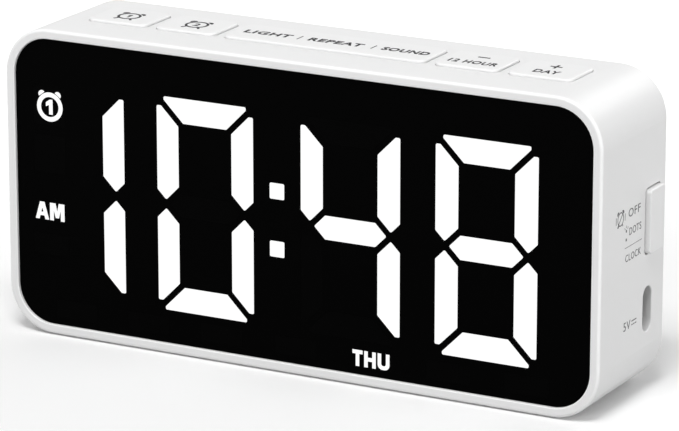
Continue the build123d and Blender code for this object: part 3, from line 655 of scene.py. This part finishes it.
class CLOCK_OT_inlet(Operator):
    """Finishes the power inlet and lays the contacts on its tongue"""

    bl_idname = "clock.dress_inlet"
    bl_label = "Dress the power inlet"

    def execute(self, context):
        # Drawn stainless shell: bright, with fine draw marks
        drawn_shell = grained(
            "Stainless steel, drawn", linear("C4C4C4"), shade=0.9, roughness=(0.24, 0.36), grain_mm=0.2,
            relief_mm=0.002, cloud_mm=1.5, **METAL)
        dress(drawn_shell, "usb_shell")
        # Black glass-filled nylon tongue: dull
        tongue = grained(
            "Black nylon, glass filled", linear("131314"), shade=0.85, roughness=(0.5, 0.6), grain_mm=0.2,
            relief_mm=0.004, cloud_mm=1.5, ior=1.53)
        dress(tongue, "usb_tongue")
        self.lay_contacts()
        return {"FINISHED"}

    def lay_contacts(self):
        """Gold-flashed contacts on both faces of the tongue."""
        length = 3.6
        width = 0.35
        pitch = 1.75
        tongue_t = 0.7
        end_gap = 0.25
        sink = 0.02
        low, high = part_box("usb_tongue")
        middle = (low + high) / 2
        x = high.x / MM - end_gap - length / 2
        size = Matrix.Diagonal((length, 2 * sink, width, 1))
        row = bmesh.new()
        for side in (-1, 1):
            for step in (-1, 0, 1):
                at = Vector((x, middle.y / MM + side * tongue_t / 2, middle.z / MM + step * pitch))
                bmesh.ops.create_cube(row, size=1, matrix=Matrix.Translation(at) @ size)
        bmesh.ops.scale(row, vec=(MM, MM, MM), verts=row.verts)
        add_piece(row, "usb_contacts", bpy.data.materials["Brass, gold flashed"], "clock")


class CLOCK_OT_legends(Operator):
    """Lights the alarm sign, the half of the day and the weekday"""

    bl_idname = "clock.light_legends"
    bl_label = "Light the legends"

    def execute(self, context):
        glow = glowing_guide("Opal acrylic print, lit from behind", context.scene.clock_finish.glow)
        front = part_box("legend_inserts")[0].y
        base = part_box("housing")[0].z / MM

        alarm = bmesh.new()
        add_alarm_sign(
            alarm, (0, 0), outer_r=3.65, stroke=1.15, bell_r=0.95, bell_turn=radians(36), gap=0.15,
            feet=False)
        add_one(alarm, (-0.15, 0), width=1.9, height=3.75, stroke=1.02)
        alarm_at = on_front(-67.95, front, base + 57.5)
        stand_up(alarm, "alarm_1_sign", alarm_at, glow, "clock")

        half_day = bmesh.new()
        letters = ((capital_a, 3.85, 0.28), (capital_m, 4.15, 0))
        add_capitals(half_day, letters, height=4.4, stroke=1.08)
        half_day_at = on_front(-68.45, front, base + 31.1)
        stand_up(half_day, "half_day_sign", half_day_at, glow, "clock")

        weekday = bmesh.new()
        letters = ((capital_t, 2.7, 0.45), (capital_h, 3.1, 0.5), (capital_u, 3.15, 0))
        add_capitals(weekday, letters, height=4.0, stroke=0.95)
        weekday_at = on_front(20.35, front, base + 6.5)
        stand_up(weekday, "weekday_sign", weekday_at, glow, "clock")
        return {"FINISHED"}


class CLOCK_OT_key_prints(Operator):
    """Prints the signs on the top keys"""

    bl_idname = "clock.print_keys"
    bl_label = "Print the keys"

    def execute(self, context):
        ink = printed_ink("Dark ink, pad printed", context.scene.clock_finish.key_ink)
        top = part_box("snooze_bar")[1].z
        self.print_alarms(ink, top)
        self.print_long_key(ink, top, context.scene.clock_print)
        self.print_setting_keys(ink, top)
        return {"FINISHED"}

    def print_alarms(self, ink, top):
        """Alarm sign with its figure on each of the two left keys."""
        dial = (0, -0.15)
        figure_h = 2.4
        for number, x in ((1, -56.0), (2, -36.95)):
            alarm = bmesh.new()
            add_alarm_sign(
                alarm, dial, outer_r=3.0, stroke=0.64, bell_r=0.95, bell_turn=radians(42), gap=0.25)
            if number == 1:
                add_one(alarm, (-0.1, -0.15), width=1.0, height=figure_h, stroke=0.5)
            else:
                add_words(alarm, "2", dial, width=1.6, height=figure_h, weight=0.03)
            key = f"alarm_{number}"
            stand_up(alarm, f"{key}_print", on_top(x, 1.1, top), ink, key)

    def print_long_key(self, ink, top, sizes):
        """Three words with a bar between them."""
        word_h = 2.9
        bar_w = 0.3
        bar_h = 3.2
        words = bmesh.new()
        for word, x, width, weight in (
                (sizes.left_word, -18.2, 12.6, 0.035),
                (sizes.middle_word, 0.2, 14.4, 0.035),
                (sizes.right_word, 18.9, 12.4, 0.04)):
            add_words(words, word, (x, 0), width, word_h, weight)
        for x in (-9.6, 10.3):
            add_bar(words, (x, 0), bar_w, bar_h)
        stand_up(words, "snooze_print", on_top(0.95, 1.15, top), ink, "snooze")

    def print_setting_keys(self, ink, top):
        """Minus and plus, each with a word below it."""
        word_h = 2.8
        weight = 0.03
        minus = bmesh.new()
        add_bar(minus, (0.25, 5.2), width=3.1, height=0.65)
        add_words(minus, "12 HOUR", (0, 0), 12.6, word_h, weight)
        stand_up(minus, "minus_print", on_top(38.7, -1.0, top), ink, "minus")

        plus_y = 5.25
        stroke = 0.6
        arm = 1.3
        plus = bmesh.new()
        add_bar(plus, (0, plus_y), width=3.0, height=stroke)
        for side in (-1, 1):
            add_bar(plus, (0, plus_y + side * (stroke + arm) / 2), width=stroke, height=arm)
        add_words(plus, "DAY", (0, 0), 6.5, word_h, weight)
        stand_up(plus, "plus_print", on_top(57.7, -1.1, top), ink, "plus")


class CLOCK_OT_side_prints(Operator):
    """Prints the signs beside the side key and the power inlet"""

    bl_idname = "clock.print_side"
    bl_label = "Print the side"

    def execute(self, context):
        ink = printed_ink("Grey ink, pad printed", context.scene.clock_finish.side_ink)
        low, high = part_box("housing")
        wall = on_right(high.x, 0, low.z / MM)

        key_signs = bmesh.new()
        self.draw_silent_alarm(key_signs)
        self.draw_blinking_dots(key_signs)
        for word, y, z, width, height in (
                ("OFF", 0.2, 47.1, 6.6, 2.0),
                ("DOTS", 0.8, 42.6, 6.6, 1.8),
                ("CLOCK", -0.2, 36.45, 8.6, 1.7)):
            add_words(key_signs, word, (y, z), width, height)
        add_bar(key_signs, (-0.15, 39.1), width=9.5, height=0.12)
        stand_up(key_signs, "side_key_print", wall, ink, "clock")

        supply = bmesh.new()
        add_words(supply, "5V", (-2.9, 19.9), width=3.8, height=2.1)
        self.draw_direct_current(supply)
        stand_up(supply, "supply_print", wall, ink, "clock")
        return {"FINISHED"}

    def draw_silent_alarm(self, sign):
        """Alarm sign struck through, with a bar of sound on each side."""
        y = -7.5
        z = 46.8
        line = 0.22
        add_alarm_sign(sign, (y, z), outer_r=1.7, stroke=0.26, bell_r=0.6, bell_turn=radians(42), gap=0.16)
        add_bar(sign, (y, z), width=line, height=5.0, turn=radians(-45))
        for shift in (-2.45, 2.45):
            add_bar(sign, (y + shift, z), width=line, height=1.7)

    def draw_blinking_dots(self, sign):
        """Two dots, the upper one with three rays."""
        y = -4.2
        z = 42.1
        dot = 0.6
        ray_w = 0.16
        apart = 1.05
        for rise in (-apart, apart):
            add_bar(sign, (y, z + rise), dot, dot)
        for lean in (-50, 0, 50):
            ray = radians(lean)
            add_bar(sign, (y + sin(ray) * apart, z + apart + cos(ray) * apart), ray_w, dot, -ray)

    def draw_direct_current(self, sign):
        """Full line over a line of three dashes."""
        y = 1.0
        line = 0.26
        add_bar(sign, (y, 20.35), width=2.7, height=line)
        for step in (-1, 0, 1):
            add_bar(sign, (y + step, 19.45), width=0.7, height=line)


class CLOCK_OT_rear_marks(Operator):
    """Prints the pointer on the battery cap and its closed and open marks on the rear cover"""

    bl_idname = "clock.mark_rear"
    bl_label = "Mark the rear"

    def execute(self, context):
        ink = bpy.data.materials["Grey ink, pad printed"]
        turn = next(joint for joint in frame["joints"] if joint["name"] == "cap_turn")
        x, y, z = turn["pos_m"]
        rear = on_rear(x / MM, y, z / MM)
        open_turn = radians(turn["range_deg"][1])
        half_w = 1.1
        base_r = 9.4
        tip_r = 11.3
        mark_r = 15.6
        dot_r = 0.9
        ring_stroke = 0.4

        pointer = bmesh.new()
        add_outline(pointer, [(-half_w, base_r), (half_w, base_r), (0, tip_r)])
        stand_up(pointer, "cap_pointer", rear, ink, "cap")

        marks = bmesh.new()
        dot = Matrix.Translation((0, mark_r, 0))
        bmesh.ops.create_circle(marks, cap_ends=True, segments=DISC_SIDES, radius=dot_r, matrix=dot)
        open_mark = (-sin(open_turn) * mark_r, cos(open_turn) * mark_r)
        add_ring(marks, open_mark, dot_r, ring_stroke)
        stand_up(marks, "cap_marks", rear, ink, "clock")
        return {"FINISHED"}


class CLOCK_OT_stage(Operator):
    """Sets up the floor, the lights and the camera"""

    bl_idname = "clock.set_stage"
    bl_label = "Set the stage"

    def execute(self, context):
        scene = context.scene
        stage = scene.clock_stage
        scene.view_settings.view_transform = "Standard"
        self.lay_floor(scene, stage)
        self.light_world(scene, stage)
        # Name, place, width and height, power, and whether surfaces mirror the lamp
        lamps = (
            ("key_lamp", (0.34, -1.05, 2.07), (0.8, 0.8), stage.key_power, True),
            ("side_lamp", (1.93, 0.0, 0.33), (0.8, 0.8), stage.side_power, False),
            ("front_lamp", (-0.12, -1.55, 0.44), (0.3, 0.3), stage.front_power, False),
            ("back_lamp", (0.35, 1.75, 1.0), (1.0, 0.7), stage.back_power, True),
            ("rear_lamp", (-0.5, 1.85, 0.25), (1.0, 0.4), stage.rear_power, False),
            ("edge_lamp", (-0.91, -0.7, 1.68), (0.15, 0.15), stage.edge_power, True),
        )
        for name, place, size, power, sheen in lamps:
            self.hang_lamp(scene, name, Vector(place), size, power, sheen)
        self.set_camera(scene, stage)
        return {"FINISHED"}

    def lay_floor(self, scene, stage):
        """Wide sheet of pale matt paper that keeps the clock's shadow; painted light, a glow seen only by
        the camera and in gloss, lifts it a little under the clock and to white further off, and the
        clock's surfaces see it greyer.
        """
        half_width = 4.0
        white_from = 0.085
        white_to = 0.25
        sheet = bmesh.new()
        bmesh.ops.create_grid(sheet, x_segments=1, y_segments=1, size=half_width)
        mesh = bpy.data.meshes.new("floor")
        sheet.to_mesh(mesh)
        sheet.free()
        paper = grained(
            "White paper, matt", stage.floor, shade=0.995, roughness=(0.85, 0.95), grain_mm=0.8,
            relief_mm=0.0, cloud_mm=60.0, ior=1.45, specular=0.1)
        tree, shader, place = working_parts(paper)
        # Painted light: emission for camera and glossy rays, faint under the clock and strong further off
        reach = add_node(tree, "ShaderNodeVectorMath", {0: place}, operation="LENGTH")
        white = add_node(tree, "ShaderNodeMapRange", {
            "Value": reach.outputs["Value"], "From Min": white_from, "From Max": white_to,
            "To Min": stage.lift, "To Max": stage.far_lift}, interpolation_type="SMOOTHSTEP")
        lift = add_node(tree, "ShaderNodeMath", {
            0: self.seen(tree), 1: white.outputs["Result"]}, operation="MULTIPLY")
        tree.links.new(lift.outputs[0], shader.inputs["Emission Strength"])
        dull = add_node(tree, "ShaderNodeBsdfDiffuse", {"Color": (*stage.bounce, 1)})
        both = add_node(tree, "ShaderNodeMixShader", {
            0: self.seen(tree), 1: dull.outputs["BSDF"], 2: shader.outputs["BSDF"]})
        tree.links.new(both.outputs["Shader"], tree.get_output_node("ALL").inputs["Surface"])
        mesh.materials.append(paper)
        floor = bpy.data.objects.new("floor", mesh)
        scene.collection.objects.link(floor)

    def light_world(self, scene, stage):
        """Even light from all round, seen as white by the camera and in gloss."""
        world = bpy.data.worlds.new("studio")
        world.use_nodes = True
        tree = world.node_tree
        tree.nodes.clear()
        fill = add_node(tree, "ShaderNodeBackground", {"Color": (1, 1, 1, 1), "Strength": stage.fill})
        white = add_node(tree, "ShaderNodeBackground", {"Color": (1, 1, 1, 1), "Strength": 1.0})
        both = add_node(tree, "ShaderNodeMixShader", {
            0: self.seen(tree), 1: fill.outputs["Background"], 2: white.outputs["Background"]})
        add_node(tree, "ShaderNodeOutputWorld", {"Surface": both.outputs["Shader"]})
        scene.world = world

    def seen(self, tree):
        """One for a camera, glossy or transmitted ray, and nothing for the rest."""
        path = add_node(tree, "ShaderNodeLightPath")
        shown = add_node(tree, "ShaderNodeMath", {
            0: path.outputs["Is Camera Ray"], 1: path.outputs["Is Glossy Ray"]}, operation="MAXIMUM")
        return add_node(tree, "ShaderNodeMath", {
            0: shown.outputs[0], 1: path.outputs["Is Transmission Ray"]}, operation="MAXIMUM").outputs[0]

    def hang_lamp(self, scene, name, place, size, power, sheen):
        """Soft rectangular lamp that looks at the clock's middle; without sheen no surface mirrors it."""
        aim = Vector((0, 0, 40 * MM))
        lamp = bpy.data.lights.new(name, "AREA")
        lamp.shape = "RECTANGLE"
        lamp.size = size[0]
        lamp.size_y = size[1]
        lamp.energy = power
        hung = bpy.data.objects.new(name, lamp)
        hung.location = place
        hung.rotation_euler = (aim - place).to_track_quat("-Z", "Y").to_euler()
        hung.visible_glossy = sheen
        scene.collection.objects.link(hung)

    def set_camera(self, scene, stage):
        """Camera at the photograph's place, looking along its axis."""
        place = Vector((468.2, -866.5, 318.2)) * MM
        along = Vector((-0.4549, 0.8467, -0.2761))
        eye = bpy.data.cameras.new("camera")
        eye.sensor_width = 36.0
        eye.lens = stage.lens
        camera = bpy.data.objects.new("camera", eye)
        camera.location = place
        camera.rotation_euler = along.to_track_quat("-Z", "Y").to_euler()
        scene.collection.objects.link(camera)
        scene.camera = camera


class CLOCK_PT_sidebar(Panel):
    """Lists the clock's settings and steps"""

    bl_idname = "CLOCK_PT_sidebar"
    bl_label = "Alarm clock"
    bl_space_type = "VIEW_3D"
    bl_region_type = "UI"
    bl_category = "Clock"

    def draw(self, context):
        for group in (context.scene.clock_finish, context.scene.clock_print, context.scene.clock_stage):
            box = self.layout.box()
            for name in group.__annotations__:
                box.prop(group, name)
        for step in STEPS:
            self.layout.operator(step.bl_idname)


GROUPS = {"clock_finish": ClockFinish, "clock_print": ClockPrint, "clock_stage": ClockStage}
STEPS = (
    CLOCK_OT_case, CLOCK_OT_keys, CLOCK_OT_display, CLOCK_OT_inside, CLOCK_OT_inlet, CLOCK_OT_legends,
    CLOCK_OT_key_prints, CLOCK_OT_side_prints, CLOCK_OT_rear_marks, CLOCK_OT_stage,
)


def register():
    """Registers the classes and hangs the settings on the scene."""
    for kind in (*GROUPS.values(), *STEPS, CLOCK_PT_sidebar):
        bpy.utils.register_class(kind)
    for name, kind in GROUPS.items():
        setattr(bpy.types.Scene, name, PointerProperty(type=kind))


def unregister():
    """Takes the settings and the classes away again."""
    for name in GROUPS:
        delattr(bpy.types.Scene, name)
    for kind in reversed((*GROUPS.values(), *STEPS, CLOCK_PT_sidebar)):
        bpy.utils.unregister_class(kind)


def main():
    """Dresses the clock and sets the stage."""
    register()
    for step in STEPS:
        family, action = step.bl_idname.split(".")
        getattr(getattr(bpy.ops, family), action)()


if __name__ == "__main__":
    main()
